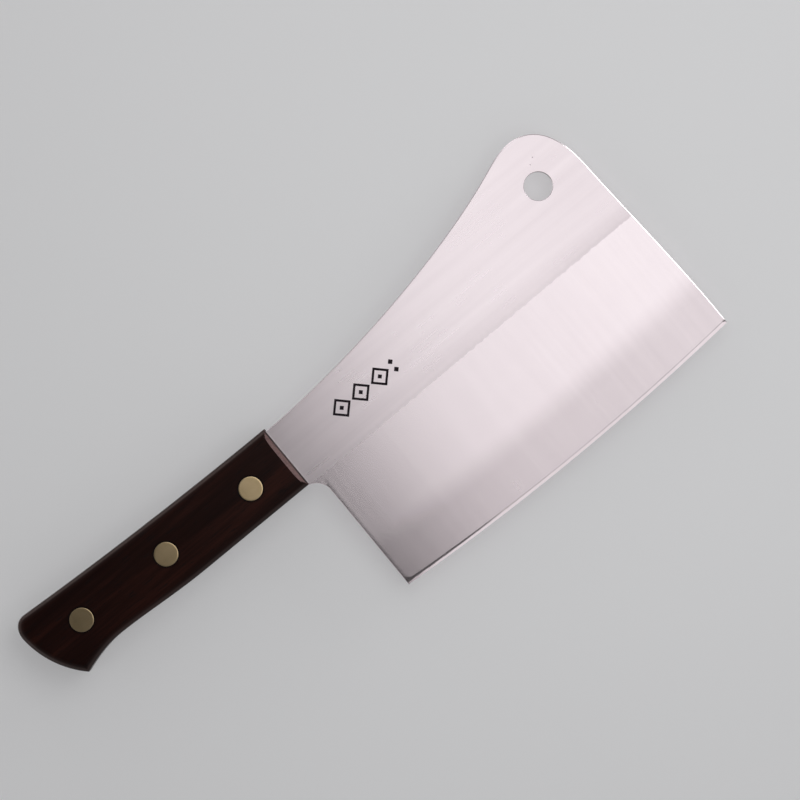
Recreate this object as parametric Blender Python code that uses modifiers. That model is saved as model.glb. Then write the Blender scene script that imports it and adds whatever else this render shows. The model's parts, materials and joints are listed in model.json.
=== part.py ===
"""Meat cleaver: a full-tang steel blade, two wooden handle scales and three two-part rivets.

Frame: metres, +Z up towards the spine, X along the blade with the front at +X, Y across the
thickness. The origin is below the middle of the overall length, at the lowest point of the edge.
Outline points are in millimetres from the heel corner: (along towards the front, up to the spine).
"""

import bmesh
import bpy
from math import atan, radians, tan
from mathutils import Matrix, Vector

MM = 0.001

# Overall reach either side of the heel corner, and the belly of the edge below it.
FRONT_REACH = 170.5
BUTT_REACH = 137.0
EDGE_BELLY = 3.2

# Blade section.
BLADE_THICKNESS = 4.5
RIM_CHAMFER = 0.4
GRIND_START = (85.0, 58.45)     # a point on the line where the flat ends and the grind starts
GRIND_RISE = 0.0087             # that line rises this much per unit towards the front
GRIND_TAPER = 0.0233            # loss of half thickness per unit going down
LOWER_GRIND_START = (85.0, 20.8)
LOWER_GRIND_RISE = 0.0
LOWER_GRIND_TAPER = 0.0369
EDGE_ANGLE = radians(20.0)      # each side of the cutting edge
EDGE_LAND = 0.1                 # flat left at the very edge
HANG_HOLE_AT = (145.95, 93.1)
HANG_HOLE_DIAMETER = 12.0
HANG_HOLE_CHAMFER = 0.45
HEEL_FILLET = 7.5

# Handle.
HANDLE_FRONT = -5.4             # front end of the scales
TANG_SHOULDER = -5.8            # step up from spine to tang, hidden just behind that end
HANDLE_TOP = 87.6
HANDLE_BOTTOM = 58.2
SCALE_THICKNESS = 7.9
GLUE_LINE = 0.1
SCALE_ROUNDING = 3.5
FRONT_CHAMFER = 2.3

# Rivets: a solid post pressed into a tubular sleeve, with a flush head on each.
RIVET_MIDDLE = (-69.0, 73.4)
RIVET_PITCH = 44.0
RIVET_LINE_RISE = 0.029         # the row rises this much per unit towards the butt
RIVET_PLACES = {"front": 1, "middle": 0, "rear": -1}
HEAD_DIAMETER = 10.0
HEAD_THICKNESS = 1.97
HEAD_RECESS = 0.03              # heads sit this far below the face of the scale
SLEEVE_DIAMETER = 6.0
SLEEVE_BORE = 4.0
SLEEVE_BORE_FLOOR = 7.0         # height of the blind end of the bore above the middle plane
POST_DIAMETER = 3.9
POST_REACH = 6.5
POST_CHAMFER = 0.4
RIVET_END_GAP = 0.3
FIT_GAP = 0.05
TANG_HOLE_DIAMETER = 6.5

# Derived.
HALF_BLADE = BLADE_THICKNESS / 2
SCALE_INNER = HALF_BLADE + GLUE_LINE
SCALE_OUTER = SCALE_INNER + SCALE_THICKNESS
HEEL_CORNER = Vector(((BUTT_REACH - FRONT_REACH) / 2, 0.0, EDGE_BELLY)) * MM
NEAR, FAR = -1, 1

CIRCLE_STEPS = 40
MERGE = 1e-6
STRAIGHT = None


# ---- Outlines: (point, handle towards the previous point, handle towards the next point).

BLADE_NODES = [
    ((0.0, 0.0), STRAIGHT, (56.8, -4.27)),
    ((FRONT_REACH, 0.0), (-56.8, -4.27), (0.2, 29.9)),
    ((166.6, 89.0), (1.2, -29.9), (-1.2, 21.7)),
    ((136.1, 112.0), (18.0, 7.2), (-40.5, -16.2)),
    ((TANG_SHOULDER, 86.4), (41.0, 0.4), STRAIGHT),
]

HANDLE_NODES = [
    ((-130.5, 91.5), (41.6, -2.63), (-4.2, 0.27)),
    ((-137.0, 83.5), (-0.25, 4.2), (0.6, -10.3)),
    ((-124.5, 56.2), (-7.4, 7.2), (6.0, 2.1)),
    ((-105.0, 60.15), (-6.5, 0.0), (14.0, 0.0)),
    ((-60.0, HANDLE_BOTTOM), (-18.0, 0.0), STRAIGHT),
]
TOP_ARC_HANDLE = (-41.6, 0.0)
ARC_HANDLE = 0.5523             # handle length of a quarter circle of radius 1


def blade_outline():
    handle = HEEL_FILLET * ARC_HANDLE
    return (
        BLADE_NODES
        + [((TANG_SHOULDER, HANDLE_TOP), STRAIGHT, TOP_ARC_HANDLE)]
        + HANDLE_NODES
        + [
            ((-HEEL_FILLET, HANDLE_BOTTOM), STRAIGHT, (handle, 0.0)),
            ((0.0, HANDLE_BOTTOM - HEEL_FILLET), (0.0, handle), STRAIGHT),
        ]
    )


def scale_outline():
    return (
        [((HANDLE_FRONT, HANDLE_TOP), STRAIGHT, TOP_ARC_HANDLE)]
        + HANDLE_NODES
        + [((HANDLE_FRONT, HANDLE_BOTTOM), STRAIGHT, STRAIGHT)]
    )


# ---- Scene, collections and materials.

def clear_scene():
    for item in list(bpy.data.objects):
        bpy.data.objects.remove(item, do_unlink=True)


def new_collection(name):
    collection = bpy.data.collections.new(name)
    bpy.context.scene.collection.children.link(collection)
    return collection


def material(name, colour, roughness, metallic):
    made = bpy.data.materials.new(name)
    made.use_nodes = True
    shader = made.node_tree.nodes["Principled BSDF"]
    shader.inputs["Base Color"].default_value = (*colour, 1.0)
    shader.inputs["Roughness"].default_value = roughness
    shader.inputs["Metallic"].default_value = metallic
    return made


def steel(name):
    return material(name, (0.72, 0.69, 0.70), 0.32, 1.0)


def rosewood(name):
    return material(name, (0.028, 0.012, 0.011), 0.45, 0.0)


def brass(name):
    return material(name, (0.58, 0.44, 0.27), 0.35, 1.0)


# ---- Modelling helpers.

def place(item, collection, at=(0.0, 0.0), y=0.0, rotation=(0.0, 0.0, 0.0)):
    """Links an object whose own origin sits at (along, up) from the heel corner."""
    collection.objects.link(item)
    item.location = HEEL_CORNER + Vector((at[0], y, at[1])) * MM
    item.rotation_euler = rotation
    return item


def as_cutter(item):
    item.hide_render = True
    item.display_type = "WIRE"
    return item


def cut(item, cutters):
    for cutter in cutters:
        modifier = item.modifiers.new(f"Cut {cutter.name}", "BOOLEAN")
        modifier.operation = "DIFFERENCE"
        modifier.solver = "EXACT"
        modifier.object = cutter


def plate(name, nodes, thickness, centre_y, resolution, collection):
    """A flat plate: a closed outline in the side view, extruded across Y."""
    curve = bpy.data.curves.new(name, "CURVE")
    curve.dimensions = "2D"
    curve.fill_mode = "BOTH"
    curve.extrude = thickness / 2 * MM
    curve.resolution_u = resolution
    spline = curve.splines.new("BEZIER")
    spline.bezier_points.add(len(nodes) - 1)
    spline.use_cyclic_u = True
    spline.resolution_u = resolution
    for knot, (point, before, after) in zip(spline.bezier_points, nodes):
        knot.handle_left_type = "VECTOR" if before is STRAIGHT else "FREE"
        knot.handle_right_type = "VECTOR" if after is STRAIGHT else "FREE"
        centre = Vector((*point, 0.0))
        knot.co = centre * MM
        if before is not STRAIGHT:
            knot.handle_left = (centre + Vector((*before, 0.0))) * MM
        if after is not STRAIGHT:
            knot.handle_right = (centre + Vector((*after, 0.0))) * MM
    outline = bpy.data.objects.new(f"{name}_outline", curve)
    place(outline, collection, y=centre_y, rotation=(radians(90.0), 0.0, 0.0))
    bpy.context.view_layer.update()

    evaluated = outline.evaluated_get(bpy.context.evaluated_depsgraph_get())
    mesh = bpy.data.meshes.new_from_object(evaluated)
    mesh.name = name
    weld_and_merge_flats(mesh)
    solid = bpy.data.objects.new(name, mesh)
    collection.objects.link(solid)
    solid.matrix_world = outline.matrix_world
    bpy.data.objects.remove(outline, do_unlink=True)
    bpy.data.curves.remove(curve)
    return solid


def weld_and_merge_flats(mesh):
    """Welds the caps to the sides and turns each flat cap into one face."""
    bm = bmesh.new()
    bm.from_mesh(mesh)
    bmesh.ops.remove_doubles(bm, verts=bm.verts, dist=MERGE)
    caps = [face for face in bm.faces if abs(face.normal.z) > 0.99]
    inner = [edge for edge in bm.edges if all(face in caps for face in edge.link_faces)]
    bmesh.ops.dissolve_edges(bm, edges=inner, use_verts=False)
    bmesh.ops.recalc_face_normals(bm, faces=bm.faces)
    bm.to_mesh(mesh)
    bm.free()


def block(name, low, high):
    """A box from its low and high corners, in millimetres about its own origin."""
    low, high = Vector(low) * MM, Vector(high) * MM
    size = high - low
    bm = bmesh.new()
    bmesh.ops.create_cube(
        bm,
        size=1.0,
        matrix=Matrix.Translation((low + high) / 2) @ Matrix.Diagonal((*size, 1.0)),
    )
    mesh = bpy.data.meshes.new(name)
    bm.to_mesh(mesh)
    bm.free()
    return bpy.data.objects.new(name, mesh)


def turned(name, profile, steps=CIRCLE_STEPS):
    """A turned solid: (radius, height) points from the axis at the top down to the axis below."""
    bm = bmesh.new()
    points = [bm.verts.new((radius * MM, 0.0, height * MM)) for radius, height in profile]
    for upper, lower in zip(points, points[1:]):
        bm.edges.new((upper, lower))
    mesh = bpy.data.meshes.new(name)
    bm.to_mesh(mesh)
    bm.free()
    solid = bpy.data.objects.new(name, mesh)
    lathe = solid.modifiers.new("Turn", "SCREW")
    lathe.axis = "Z"
    lathe.angle = radians(360.0)
    lathe.steps = steps
    lathe.render_steps = steps
    lathe.use_merge_vertices = True
    lathe.merge_threshold = MERGE
    return solid


def apply_modifiers(item):
    bpy.context.view_layer.update()
    evaluated = item.evaluated_get(bpy.context.evaluated_depsgraph_get())
    mesh = bpy.data.meshes.new_from_object(evaluated)
    mesh.name = item.name
    item.modifiers.clear()
    item.data = mesh


def shade_smooth(item, angle):
    item.data.shade_smooth()
    item.data.set_sharp_from_angle(angle=angle)


def weigh_edges(item, weight_of):
    """Stores a bevel weight on each edge, from a function of its two ends."""
    mesh = item.data
    weights = mesh.attributes.new("bevel_weight_edge", "FLOAT", "EDGE")
    for edge in mesh.edges:
        ends = [mesh.vertices[index].co / MM for index in edge.vertices]
        weights.data[edge.index].value = weight_of(*ends)


def bevel(item, width, segments):
    modifier = item.modifiers.new("Round", "BEVEL")
    modifier.width = width * MM
    modifier.segments = segments
    modifier.limit_method = "WEIGHT"
    modifier.use_clamp_overlap = False


# ---- Blade.

def grind_cutter(name, side, start, slope, taper, collection):
    """A block whose inner face is one flat of the grind, on one side of the blade."""
    reach_y = sorted((0.0, side * 10.0))
    cutter = block(name, (-120.0, reach_y[0], -80.0), (110.0, reach_y[1], 12.0))
    tilt = -side * atan(taper)
    depth = HALF_BLADE - max(0.0, GRIND_START[1] - start[1]) * GRIND_TAPER
    place(cutter, collection, at=start, y=side * depth, rotation=(tilt, -atan(slope), 0.0))
    return as_cutter(cutter)


def edge_cutter(name, side, collection):
    """A wedge swept along the curved edge: it leaves the narrow bevel of one side."""
    half_edge = FRONT_REACH / 2
    radius = (half_edge**2 + EDGE_BELLY**2) / (2 * EDGE_BELLY)
    sweep = radians(10.0)
    steps = 20
    beyond, height, depth = 0.1, 4.0, 4.0
    land = EDGE_LAND / 2

    def wall(distance):
        return land + distance * tan(EDGE_ANGLE)

    profile = [
        (-beyond, wall(-beyond)),
        (height, wall(height)),
        (height, wall(height) + depth),
        (-beyond, wall(height) + depth),
    ]
    bm = bmesh.new()
    start = Matrix.Rotation(-sweep / 2, 3, "Y")
    corners = [
        bm.verts.new(start @ Vector((0.0, side * y, inward - radius)) * MM)
        for inward, y in profile
    ]
    face = bm.faces.new(corners)
    bmesh.ops.spin(
        bm,
        geom=[face, *face.edges, *face.verts],
        cent=(0.0, 0.0, 0.0),
        axis=(0.0, 1.0, 0.0),
        angle=sweep,
        steps=steps,
    )
    bmesh.ops.recalc_face_normals(bm, faces=bm.faces)
    mesh = bpy.data.meshes.new(name)
    bm.to_mesh(mesh)
    bm.free()
    cutter = bpy.data.objects.new(name, mesh)
    place(cutter, collection, at=(half_edge, radius - EDGE_BELLY))
    return as_cutter(cutter)


def hang_hole_cutter(collection):
    radius = HANG_HOLE_DIAMETER / 2
    wide = radius + HANG_HOLE_CHAMFER + 0.5
    face = HALF_BLADE + 0.5
    waist = HALF_BLADE - HANG_HOLE_CHAMFER
    cutter = turned(
        "hang_hole_cutter",
        [(0.0, face), (wide, face), (radius, waist), (radius, -waist), (wide, -face), (0.0, -face)],
        steps=64,
    )
    place(cutter, collection, at=HANG_HOLE_AT, rotation=(radians(90.0), 0.0, 0.0))
    return as_cutter(cutter)


def rim_weight(start, end):
    """The rim of the blade is chamfered, and the tang's isn't: its scales are ground flush with it."""
    on_one_face = abs(start.z - end.z) < 0.01
    ahead = min(start.x, end.x) > TANG_SHOULDER - 0.01
    shoulder = max(start.x, end.x) < TANG_SHOULDER + 0.01
    return 1.0 if on_one_face and ahead and not shoulder else 0.0


def make_blade(parts, cutters):
    blade = plate("blade", blade_outline(), BLADE_THICKNESS, 0.0, 16, parts)
    weigh_edges(blade, rim_weight)
    bevel(blade, RIM_CHAMFER, 1)
    tools = [hang_hole_cutter(cutters)]
    for side, word in ((NEAR, "near"), (FAR, "far")):
        tools.append(
            grind_cutter(
                f"grind_cutter_{word}", side, GRIND_START, GRIND_RISE, GRIND_TAPER, cutters
            )
        )
        tools.append(
            grind_cutter(
                f"lower_grind_cutter_{word}", side, LOWER_GRIND_START, LOWER_GRIND_RISE,
                LOWER_GRIND_TAPER, cutters,
            )
        )
        tools.append(edge_cutter(f"edge_cutter_{word}", side, cutters))
    for place_name in RIVET_PLACES:
        hole = turned(
            f"tang_hole_cutter_{place_name}",
            [(0.0, 4.0), (TANG_HOLE_DIAMETER / 2, 4.0), (TANG_HOLE_DIAMETER / 2, -4.0), (0.0, -4.0)],
        )
        place(hole, cutters, at=rivet_at(place_name), rotation=(radians(90.0), 0.0, 0.0))
        tools.append(as_cutter(hole))
    cut(blade, tools)
    shade_smooth(blade, radians(12.0))
    blade.data.materials.append(steel("Blade steel"))
    return blade


# ---- Handle scales.

def scale_rim_weight(side):
    """The outer rim is rounded all the way round from the front end back to it."""
    outer_z = -side * SCALE_THICKNESS / 2

    def weight_of(start, end):
        outer = abs(start.z - outer_z) < 0.01 and abs(end.z - outer_z) < 0.01
        front = min(start.x, end.x) > HANDLE_FRONT - 0.01
        return 1.0 if outer and not front else 0.0

    return weight_of


def front_chamfer_cutter(name, side, collection):
    """A block turned 45 degrees that takes the outer front edge off a scale."""
    cutter = block(name, (0.0, -20.0, -30.0), (20.0, 20.0, 30.0))
    middle = (HANDLE_TOP + HANDLE_BOTTOM) / 2
    place(
        cutter,
        collection,
        at=(HANDLE_FRONT - FRONT_CHAMFER / 2, middle),
        y=side * (SCALE_OUTER - FRONT_CHAMFER / 2),
        rotation=(0.0, 0.0, side * radians(45.0)),
    )
    return as_cutter(cutter)


def rivet_hole_cutter(name, side, at, collection):
    """A stepped cutter: a seat for the rivet's head, and a hole for its sleeve."""
    seat = HEAD_DIAMETER / 2 + FIT_GAP
    hole = SLEEVE_DIAMETER / 2 + FIT_GAP
    seat_floor = SCALE_OUTER - HEAD_RECESS - HEAD_THICKNESS - FIT_GAP
    profile = [
        (0.0, SCALE_OUTER + 2.0),
        (seat, SCALE_OUTER + 2.0),
        (seat, seat_floor),
        (hole, seat_floor),
        (hole, HALF_BLADE - 1.0),
        (0.0, HALF_BLADE - 1.0),
    ]
    cutter = turned(name, profile)
    place(cutter, collection, at=at, rotation=(-side * radians(90.0), 0.0, 0.0))
    return as_cutter(cutter)


def make_scale(side, word, parts, cutters):
    centre_y = side * (SCALE_INNER + SCALE_THICKNESS / 2)
    scale = plate(f"{word}_scale", scale_outline(), SCALE_THICKNESS, centre_y, 12, parts)
    weigh_edges(scale, scale_rim_weight(side))
    bevel(scale, SCALE_ROUNDING, 4)
    tools = [front_chamfer_cutter(f"front_chamfer_cutter_{word}", side, cutters)]
    for place_name in RIVET_PLACES:
        name = f"rivet_hole_cutter_{word}_{place_name}"
        tools.append(rivet_hole_cutter(name, side, rivet_at(place_name), cutters))
    cut(scale, tools)
    shade_smooth(scale, radians(35.0))
    scale.data.materials.append(rosewood(f"{word.capitalize()} scale wood"))
    return scale


# ---- Rivets.

def rivet_at(place_name):
    along = RIVET_PLACES[place_name] * RIVET_PITCH
    return (RIVET_MIDDLE[0] + along, RIVET_MIDDLE[1] - along * RIVET_LINE_RISE)


def head_profile():
    outer = SCALE_OUTER - HEAD_RECESS
    radius = HEAD_DIAMETER / 2
    return [(0.0, outer), (radius, outer), (radius, outer - HEAD_THICKNESS)]


def make_rivet(place_name, parts):
    """The post's head is on the near side and the sleeve's on the far side."""
    under_head = SCALE_OUTER - HEAD_RECESS - HEAD_THICKNESS
    shank = POST_DIAMETER / 2
    post = turned(
        f"rivet_post_{place_name}",
        head_profile()
        + [
            (shank, under_head),
            (shank, -POST_REACH + POST_CHAMFER),
            (shank - POST_CHAMFER, -POST_REACH),
            (0.0, -POST_REACH),
        ],
    )
    sleeve_end = -under_head + RIVET_END_GAP
    sleeve = turned(
        f"rivet_sleeve_{place_name}",
        head_profile()
        + [
            (SLEEVE_DIAMETER / 2, under_head),
            (SLEEVE_DIAMETER / 2, sleeve_end),
            (SLEEVE_BORE / 2, sleeve_end),
            (SLEEVE_BORE / 2, SLEEVE_BORE_FLOOR),
            (0.0, SLEEVE_BORE_FLOOR),
        ],
    )
    for half, side in ((post, NEAR), (sleeve, FAR)):
        place(half, parts, at=rivet_at(place_name), rotation=(-side * radians(90.0), 0.0, 0.0))
        apply_modifiers(half)
        shade_smooth(half, radians(35.0))
        half.data.materials.append(brass(f"{half.name} brass"))
    return [post, sleeve]


# ---- Assembly.

def main():
    clear_scene()
    parts = new_collection("Meat cleaver")
    cutters = new_collection("Cutters")
    pieces = [make_blade(parts, cutters)]
    pieces += [make_scale(side, word, parts, cutters) for side, word in ((NEAR, "near"), (FAR, "far"))]
    for place_name in RIVET_PLACES:
        pieces += make_rivet(place_name, parts)
    cleaver = bpy.data.objects.new("meat_cleaver", None)
    parts.objects.link(cleaver)
    for piece in pieces:
        piece.parent = cleaver


main()
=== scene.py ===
"""The looks of the meat cleaver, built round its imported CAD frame.

Every visible piece is remade as a fine mesh from the frame's own sections and boxes: a plan (the
outline in X and Z) is triangulated, and each plan point gets its place across the thickness (Y)
from a formula for the ground or rounded surface. The near side faces -Y. Plans and shapes are in
millimetres; objects, materials, lights and the camera are in metres.
"""

import json
from math import cos, pi, radians, sin, tan

import bmesh
import bpy
import numpy as np
from mathutils import Matrix, Vector, geometry

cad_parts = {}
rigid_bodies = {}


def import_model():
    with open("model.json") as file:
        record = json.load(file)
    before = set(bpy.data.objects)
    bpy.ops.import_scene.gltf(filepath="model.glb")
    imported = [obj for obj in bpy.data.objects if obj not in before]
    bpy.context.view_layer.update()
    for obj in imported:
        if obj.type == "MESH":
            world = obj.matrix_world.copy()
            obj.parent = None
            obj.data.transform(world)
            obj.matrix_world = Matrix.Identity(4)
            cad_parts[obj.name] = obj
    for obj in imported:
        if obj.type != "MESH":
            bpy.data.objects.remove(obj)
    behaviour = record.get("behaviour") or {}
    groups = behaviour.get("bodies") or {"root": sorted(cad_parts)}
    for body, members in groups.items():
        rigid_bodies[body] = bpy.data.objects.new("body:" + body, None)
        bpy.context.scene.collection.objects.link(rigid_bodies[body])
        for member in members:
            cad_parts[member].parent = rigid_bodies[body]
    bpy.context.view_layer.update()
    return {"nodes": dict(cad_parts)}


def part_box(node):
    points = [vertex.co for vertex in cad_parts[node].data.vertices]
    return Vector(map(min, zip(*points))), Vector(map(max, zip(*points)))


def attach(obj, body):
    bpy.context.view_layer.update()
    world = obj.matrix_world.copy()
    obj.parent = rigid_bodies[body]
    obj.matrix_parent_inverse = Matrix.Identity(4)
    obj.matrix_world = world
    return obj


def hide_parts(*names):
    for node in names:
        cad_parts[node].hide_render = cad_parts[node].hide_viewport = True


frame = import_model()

MM = 0.001
NEAR, FAR = -1, 1
RIVETS = ("front", "middle", "rear")

# Plans and meshes.
CORNER = radians(20.0)  # an outline that turns more than this at a point has a corner there
STRAIGHT = radians(0.03)  # and one that turns less than this needs no point there
LONG_RUN = 4.0  # a side this many times as long as its neighbour is straight
CLOSE = 1e-3  # two points this close are one
TOUCHING = 0.02  # and a point this close to a line is on it
ROUND_STEPS = 96
WALL_HOLD = 0.15  # a row this far down each wall keeps its edge crisp
SHARP = radians(38.0)  # faces that meet at more than this have a sharp edge between them

# Blade. The ground surfaces follow the CAD, with softened borders.
GRIND_START = 58.45  # height above the heel corner, at the middle of the edge
GRIND_RISE = 0.0087  # how much the line climbs for each millimetre forward
GRIND_TAPER = 0.0233  # half thickness lost for each millimetre down
GRIND_BLEND = 0.012
LOWER_GRIND_WIDTH = 23.2  # the lower grind keeps this far from the curved edge
LOWER_GRIND_TAPER = 0.0369
LOWER_GRIND_BLEND = 0.11
EDGE_LAND = 0.035  # half the flat at the very edge
EDGE_ANGLE = radians(20.5)
BEVEL_WIDTH = 0.95
SHOULDER_ANGLE = radians(15.5)  # near the heel the bevel has a flatter shoulder above it
SHOULDER_WIDTH = 0.80
SHOULDER_KEEPS = 22.0  # the shoulder keeps its angle this far ahead of the heel
SHOULDER_FADES = 50.0  # and takes this much more to turn into the bevel
HEEL_CURL = 1.6  # how much higher the shoulder ends right at the heel
HEEL_CURL_REACH = 1.2
HEEL_HEIGHT = 56.0  # the straight part of the heel
HEEL_ROLL = 1.4  # how far in from the heel the polishing wheel rolled the surface
HEEL_ROLL_DROP = 0.04
BLADE_RIM = 0.30  # width of the broken corner round the outline
RIM_SHARE = 0.6  # or this share of the half thickness, where the blade is thinner
RIM_BLEND = 0.06
HOLE_RIM = 0.20  # radius of the hanging hole's rounded rim

# Rows of points in the blade's mesh, closer together where its surface turns. Three values are
# the first row, a limit and the spacing.
OUTLINE_STEP = 0.9
HOLE_STEP = 0.5
RIM_ROWS = (-0.15, -0.05, 0.0, 0.05, 0.20)  # from where the rim ends
POINTS_CLEAR = 0.25  # loose points stay this far from there
ROW_START = 1.0
ROW_STEP = 3.0
GRIND_LINE_ROWS = (-4.0, -1.5, -0.5, -0.15, 0.15, 0.5, 1.5)  # above the line
LOWER_LINE_ROWS = (-9.0, 9.1, 1.5)
FACE_ROWS = ((34.0, 56.0), (65.0, 114.0))  # above the heel corner
FACE_ROW_STEP = 4.0
BEVEL_ROWS = (0.15, 2.6, 0.15)  # in from the edge
BEVEL_STEP = 1.0
HEEL_ROWS = (0.7, 3.6, 0.35)  # ahead of the heel
HEEL_START = 2.0
HEEL_STEP = 1.5
HEEL_CORNER_AHEAD = (0.5, 5.0, 0.4)
HEEL_CORNER_Z = (-0.6, 6.0, 0.3)

# The mark on the blade: plain lozenges with a dot in each, and two dots, recessed and dark.
MARK_UP = 74.0  # above the heel corner
MARK_DEPTH = 0.12
MARK_WALL = 0.06
MARK_FLOOR = 0.9 * MARK_WALL  # points farther in than this are at the full depth
MARK_CLEAR = 0.5
LOZENGES = (25.0, 35.2, 45.4)  # ahead of the heel
LOZENGE_REACH = 4.8  # from the centre to each point of the lozenge
LOZENGE_STROKE = 1.4  # measured along that reach
LOZENGE_DOT = 1.15
END_DOTS = 52.6
END_DOT_LIFTS = (2.0, -2.0)
END_DOT = 1.3

# Two small pits near the hanging hole: ahead of the heel corner, above it, and radius.
PITS = ((151.6, 103.8, 0.30), (148.9, 102.1, 0.40))
PIT_DEPTH = 0.10
PIT_FALLOFF = 2.0
PIT_RINGS = (0.35, 0.7, 1.0, 1.4)
PIT_STEPS = 12

# Handle scales.
SCALE_SECTION = 0.5  # the outline is taken this far out from the scale's inner face
SCALE_STEP = 0.8
SCALE_POINT_STEP = 3.0
SCALE_POINTS_CLEAR = 0.5
SCALE_ROUNDING = 3.5
ROUNDING_STEPS = 9
ROUNDING_HOLD = 0.2
FRONT_CHAMFER = 2.3
CHAMFER_RUN_OUT = 9.0
CHAMFER_NARROWING = 0.45
CHAMFER_FOOT = 0.55  # the last of the chamfer, beside the blade, is steeper
CHAMFER_FOOT_DROP = 0.7
CHAMFER_POINTS = 60
CHAMFER_ROWS = ((0.0, CHAMFER_FOOT), (1.0, -0.10), (1.0, 0.0), (1.0, 0.15))
SEAT_GAP = 0.05  # between a rivet's head and the wood round it
SEAT_DEPTH = 2.05
SEAT_RIM = 0.05  # how much the wood has sunk right beside the seat
SEAT_RIM_WIDTH = 0.04
SEAT_RINGS = (0.25, 0.08, 0.0, -0.02)
SEAT_WALL = 0.01
SEAT_CLEAR = 1.0

# Rivets. Each is a post pressed into a sleeve; radii, and heights from the blade's middle plane.
HEAD_THICKNESS = 1.97
HEAD_SWELL = 0.02
HEAD_RINGS = (0.25, 0.5, 0.75, 0.92)
HEAD_EDGE = ((0.10, 0.0), (0.03, 0.03), (0.0, 0.10))  # in from the radius, and down
HEAD_HOLD = 0.4
POST_RADIUS = 1.95
POST_TIP_RADIUS = 1.55
POST_TIP = 0.4
SLEEVE_RADIUS = 3.0
SLEEVE_BORE = 2.0
SLEEVE_BORE_END = 7.0

# Colours, linear.
STEEL_TONES = ((0.0, (0.49, 0.43, 0.45)), (0.6, (0.80, 0.715, 0.745)), (1.0, (0.97, 0.88, 0.91)))
STEEL_WALL = (0.50, 0.46, 0.47, 1.0)
ETCH_TONES = ((0.25, (0.010, 0.006, 0.009)), (0.8, (0.034, 0.023, 0.031)))
WOOD_TONES = (
    (0.26, (0.0078, 0.0030, 0.0026)),
    (0.44, (0.0170, 0.0055, 0.0042)),
    (0.58, (0.0355, 0.0100, 0.0068)),
    (0.75, (0.0640, 0.0180, 0.0118)),
)
WOOD_PORE = (0.006, 0.003, 0.003, 1.0)
RIVET_RING_TONE = (0.003, 0.002, 0.002, 1.0)
WOOD_RIM_HIGHLIGHT = (0.22, 0.155, 0.145, 1.0)
CHAMFER_HIGHLIGHT_TONES = ((0.3, (0.170, 0.070, 0.066)), (0.7, (0.090, 0.034, 0.032)))
BRASS_TONES = ((0.25, (0.74, 0.56, 0.31)), (0.5, (0.83, 0.63, 0.37)), (0.8, (0.90, 0.71, 0.44)))
WHITE = (1.0, 1.0, 1.0, 1.0)
PALE = (0.60, 0.60, 0.61, 1.0)  # the tone that the stage and everything behind it is seen at

# Lights: name, place, size, radiance, turn in X and Z from facing down (None: at the aim), and
# the words that an object's name must have one of to be lit (None: everything is).
ALL_BUT_FLOOR = ("steel", "wood", "brass", "sheet")
SOFT_LIGHTS = (
    ("panel", (0.1993, -0.45, 0.07), (0.4035, 0.50), 1.08, (90.0, 0.0), ALL_BUT_FLOOR),
    ("side", (0.9, -0.10, 0.10), (0.4, 0.4), 3.5, None, ALL_BUT_FLOOR),
    ("top", (0.20, -0.12, 0.80), (0.40, 0.40), 0.9, None, None),
    ("back", (-0.4, 0.9, 0.6), (0.6, 0.6), 2.0, None, None),
)
# The line along the cutting edge, the rivets' gleam, and the lines along the handle's rim.
SMALL_LIGHTS = (
    ("under_edge", (0.135, -0.40, -0.38), (0.37, 0.12), 0.9, (133.5, 0.0), ["steel"]),
    ("beside", (-0.062, -0.45, 0.07), (0.05, 0.50), 0.27, (90.0, 0.0), ["brass"]),
    ("over_handle", (-0.09, -0.03, 0.75), (0.50, 0.12), 4.0, (0.0, 0.0), ["wood"]),
    ("behind_butt", (-0.90, -0.03, -0.10), (0.12, 0.34), 4.0, (90.0, -90.0), ["wood"]),
)

# Stage, world and camera.
STAGE_SIZE = 16.0
STAGE_GAP = 0.0002  # between the object and the sheet or the floor
STAGE_ALBEDO = 0.60
STAGE_LIFT = 0.42  # how much of the pale tone is added to the matte surface
STAGE_FADE = (0.35, 1.3)  # from this far out the surface turns into the pale tone
SQUARE_ON = (0.90, 0.93)  # the part of a ray along Y from which it counts as square on
WORLD_AROUND = 0.45
WORLD_FRONT = 0.04
WORLD_FRONT_BORDER = (0.60, 0.90)
AIM = Vector((0.0289, 0.0, 0.0644))
ROLL = radians(39.48)
LENS = 200.0
FRAME_WIDTH = 0.331  # what the picture spans at the aim


# ---- Outlines.

def section_loops(node, y):
    """The closed outlines where a CAD node crosses the plane at y, largest first."""
    bm = bmesh.new()
    bm.from_mesh(frame["nodes"][node].data)
    bmesh.ops.remove_doubles(bm, verts=bm.verts, dist=1e-6)
    cut = bmesh.ops.bisect_plane(
        bm,
        geom=[*bm.verts, *bm.edges, *bm.faces],
        dist=1e-8,
        plane_co=(0.0, y * MM, 0.0),
        plane_no=(0.0, 1.0, 0.0),
    )
    edges = {item for item in cut["geom_cut"] if isinstance(item, bmesh.types.BMEdge)}
    loops = []
    while edges:
        edge = edges.pop()
        start, vert = edge.verts
        chain = [start, vert]
        while vert is not start:
            edge = next(e for e in vert.link_edges if e in edges)
            edges.remove(edge)
            vert = edge.other_vert(vert)
            chain.append(vert)
        points = np.array([(v.co.x, v.co.z) for v in chain[:-1]]) / MM
        loops.append(drop_straight(in_order(points)))
    bm.free()
    return sorted(loops, key=lambda loop: (-abs(area(loop)), *loop[0]))


def in_order(loop):
    """The same outline from its rearmost point and anticlockwise, however the cut gave it."""
    if area(loop) < 0:
        loop = loop[::-1]
    first = np.lexsort((loop[:, 1], loop[:, 0]))[0]
    return np.roll(loop, -first, axis=0)


def area(loop):
    """The area inside an outline, positive if it runs anticlockwise."""
    following = np.roll(loop, -1, axis=0)
    return float(np.sum(loop[:, 0] * following[:, 1] - loop[:, 1] * following[:, 0]) / 2)


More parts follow.
